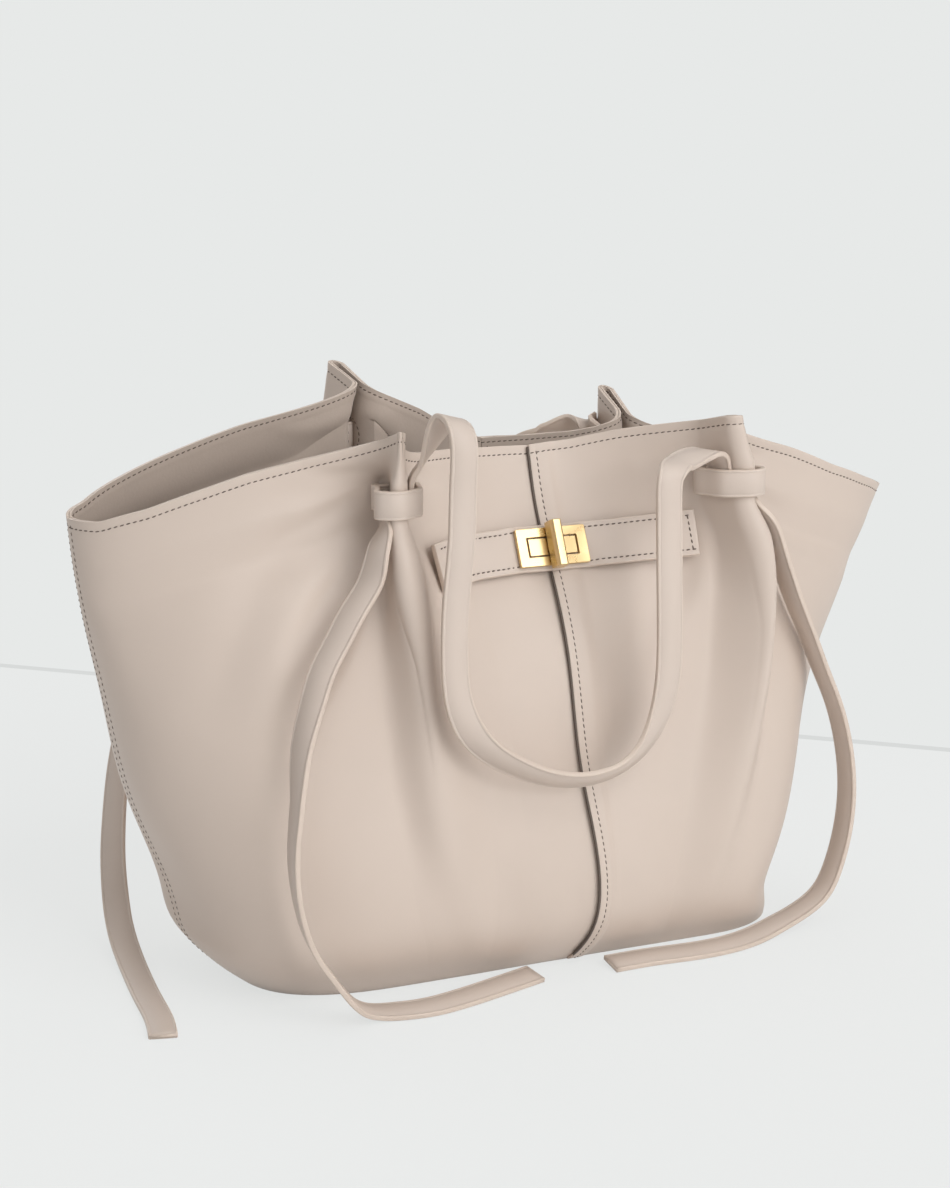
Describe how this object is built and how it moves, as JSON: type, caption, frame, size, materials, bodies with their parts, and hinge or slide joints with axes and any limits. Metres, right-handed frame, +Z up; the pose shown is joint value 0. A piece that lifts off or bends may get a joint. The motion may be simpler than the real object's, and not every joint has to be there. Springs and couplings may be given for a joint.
{
  "type": "winged shopper bag",
  "caption": "Soft leather shopper with flared wings, cinched upright folds holding strap handles with long trailing tails, and a short front belt closed by a gold turn-lock.",
  "frame": {"origin": "centre of the bag's footprint box on the floor, measured without the hanging strap tails", "axes": "+Z up, -Y out of the belt side (front), +X to the viewer's right when facing the belt"},
  "size_m": [0.5003, 0.2301, 0.321],
  "materials": {
    "outer_leather": "smooth light taupe leather, soft sheen",
    "strap_leather": "two-layer strap leather with paler painted edges",
    "lining_leather": "darker brown suede-like inner face",
    "gold_metal": "polished gold-coloured plating",
    "base_card": "plain stiff board"
  },
  "bodies": {
    "bag": {"front_left_panel": "outer_leather", "lining_front_left": "lining_leather", "front_left_band": "strap_leather", "front_left_root": "strap_leather", "front_left_tuck": "strap_leather", "front_left_tail": "strap_leather", "front_right_panel": "outer_leather", "lining_front_right": "lining_leather", "front_right_band": "strap_leather", "front_right_root": "strap_leather", "front_right_tuck": "strap_leather", "front_right_tail": "strap_leather", "back_left_panel": "outer_leather", "lining_back_left": "lining_leather", "back_left_band": "strap_leather", "back_left_root": "strap_leather", "back_left_tuck": "strap_leather", "back_left_tail": "strap_leather", "back_right_panel": "outer_leather", "lining_back_right": "lining_leather", "back_right_band": "strap_leather", "back_right_root": "strap_leather", "back_right_tuck": "strap_leather", "back_right_tail": "strap_leather", "base_panel": "outer_leather", "lining_base": "lining_leather", "base_board": "base_card", "belt": "strap_leather", "lock_plate": "gold_metal", "lock_post": "gold_metal"},
    "front_handle": {"front_handle": "strap_leather"},
    "back_handle": {"back_handle": "strap_leather"},
    "turn_knob": {"turn_knob": "gold_metal"}
  },
  "joints": [
    {"name": "front_handle_swing", "type": "hinge", "parent": "bag", "child": "front_handle", "pos_m": [-0.01471, -0.09847, 0.2895], "axis": [-0.9659, 0.0079, 0.2588], "range_deg": [0, 165]},
    {"name": "back_handle_swing", "type": "hinge", "parent": "bag", "child": "back_handle", "pos_m": [-0.00476, 0.10078, 0.2736], "axis": [0.9847, 0, -0.1743], "range_deg": [0, 165]},
    {"name": "knob_turn", "type": "hinge", "parent": "bag", "child": "turn_knob", "pos_m": [0.0048, -0.04634, 0.22883], "axis": [0, -0.9135, 0.4067], "range_deg": [0, 90]}
  ]
}
